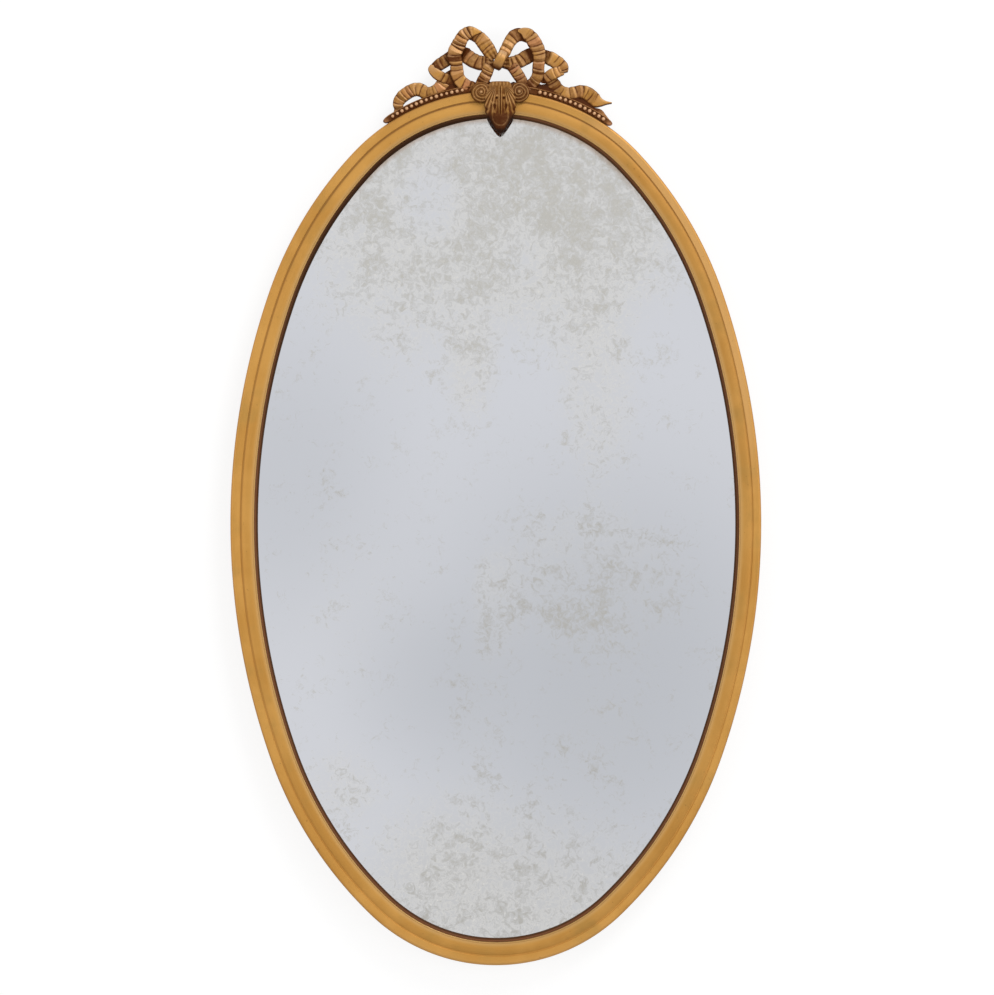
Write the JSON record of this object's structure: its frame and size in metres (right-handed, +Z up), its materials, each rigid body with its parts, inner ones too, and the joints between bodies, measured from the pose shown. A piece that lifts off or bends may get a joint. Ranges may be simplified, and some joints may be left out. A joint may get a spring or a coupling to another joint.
{
  "type": "oval wall mirror",
  "caption": "Tall oval wall mirror in a gilded two-band moulding, with a carved ribbon-bow crest, beaded rail and leaf, and hanging rings on its back.",
  "frame": {"origin": "rear plane of the mirror, on its centre line, at the level where the oval is widest", "axes": "+Z up, +X to the right as the mirror is looked at, +Y out of the back towards the wall"},
  "size_m": [0.68, 0.0467, 1.2009],
  "materials": {
    "gilt_moulding": "burnished gilding on wood, matt in the groove",
    "gilt_carving": "worn gilding with brown glaze in the hollows",
    "dark_slip": "dark stained",
    "silvered_glass": "old silvering with fine foxing",
    "pine": "aged bare pine",
    "beech": "bare beech",
    "felt": "dark felt",
    "bumper_felt": "brown felt",
    "brass": "dull brass",
    "hanger_brass": "plated",
    "screw_steel": "darkened steel"
  },
  "bodies": {
    "mirror": {"acanthus_leaf": "gilt_carving", "back_rail_lower_left": "pine", "back_rail_lower_right": "pine", "back_rail_screws": "screw_steel", "back_rail_upper_left": "pine", "back_rail_upper_right": "pine", "backboard_left": "pine", "backboard_middle": "pine", "backboard_right": "pine", "backing_felt": "felt", "bead_row_left": "gilt_carving", "bead_row_right": "gilt_carving", "crest_pegs": "beech", "crest_rail": "gilt_carving", "frame_bottom": "gilt_moulding", "frame_left": "gilt_moulding", "frame_right": "gilt_moulding", "frame_top": "gilt_moulding", "glass_shims": "beech", "hanger_screws": "screw_steel", "hanger_strap_left": "hanger_brass", "hanger_strap_right": "hanger_brass", "joint_dowels": "beech", "leaf_peg": "beech", "mirror_plate": "silvered_glass", "ribbon_fold_left": "gilt_carving", "ribbon_fold_right": "gilt_carving", "ribbon_knot": "gilt_carving", "ribbon_loop_left": "gilt_carving", "ribbon_loop_right": "gilt_carving", "ribbon_stem_left": "gilt_carving", "ribbon_stem_right": "gilt_carving", "ribbon_strand_left": "gilt_carving", "ribbon_strand_right": "gilt_carving", "ribbon_tail_left": "gilt_carving", "ribbon_tail_right": "gilt_carving", "scroll_left": "gilt_carving", "scroll_right": "gilt_carving", "sight_slip": "dark_slip", "turn_button_screws": "screw_steel", "wall_bumpers": "bumper_felt"},
    "hanger_ring_left": {"hanger_ring_left": "hanger_brass"},
    "hanger_ring_right": {"hanger_ring_right": "hanger_brass"},
    "turn_button_bottom": {"turn_button_bottom": "brass"},
    "turn_button_left_lower": {"turn_button_left_lower": "brass"},
    "turn_button_left_middle": {"turn_button_left_middle": "brass"},
    "turn_button_left_upper": {"turn_button_left_upper": "brass"},
    "turn_button_right_lower": {"turn_button_right_lower": "brass"},
    "turn_button_right_middle": {"turn_button_right_middle": "brass"},
    "turn_button_right_upper": {"turn_button_right_upper": "brass"},
    "turn_button_top": {"turn_button_top": "brass"}
  },
  "joints": [
    {"name": "turn_button_right_middle_turn", "type": "hinge", "parent": "mirror", "child": "turn_button_right_middle", "pos_m": [0.32606, 0.0015, 0.06261], "axis": [0, 1, 0], "continuous": true},
    {"name": "turn_button_right_upper_turn", "type": "hinge", "parent": "mirror", "child": "turn_button_right_upper", "pos_m": [0.2637, 0.0015, 0.33201], "axis": [0, 1, 0], "continuous": true},
    {"name": "turn_button_top_turn", "type": "hinge", "parent": "mirror", "child": "turn_button_top", "pos_m": [-0.02492, 0.0015, 0.54094], "axis": [0, 1, 0], "continuous": true},
    {"name": "turn_button_left_upper_turn", "type": "hinge", "parent": "mirror", "child": "turn_button_left_upper", "pos_m": [-0.2637, 0.0015, 0.33201], "axis": [0, 1, 0], "continuous": true},
    {"name": "turn_button_left_middle_turn", "type": "hinge", "parent": "mirror", "child": "turn_button_left_middle", "pos_m": [-0.32606, 0.0015, 0.06261], "axis": [0, 1, 0], "continuous": true},
    {"name": "turn_button_left_lower_turn", "type": "hinge", "parent": "mirror", "child": "turn_button_left_lower", "pos_m": [-0.26232, 0.0015, -0.33563], "axis": [0, 1, 0], "continuous": true},
    {"name": "turn_button_bottom_turn", "type": "hinge", "parent": "mirror", "child": "turn_button_bottom", "pos_m": [-0.02289, 0.0015, -0.55305], "axis": [0, 1, 0], "continuous": true},
    {"name": "turn_button_right_lower_turn", "type": "hinge", "parent": "mirror", "child": "turn_button_right_lower", "pos_m": [0.26232, 0.0015, -0.33563], "axis": [0, 1, 0], "continuous": true},
    {"name": "hanger_ring_right_swing", "type": "hinge", "parent": "mirror", "child": "hanger_ring_right", "pos_m": [0.30358, 0.0034, 0.209], "axis": [0.9725, 0, 0.2329], "range_deg": [0, 180]},
    {"name": "hanger_ring_left_swing", "type": "hinge", "parent": "mirror", "child": "hanger_ring_left", "pos_m": [-0.30358, 0.0034, 0.209], "axis": [0.9725, 0, -0.2329], "range_deg": [0, 180]}
  ]
}
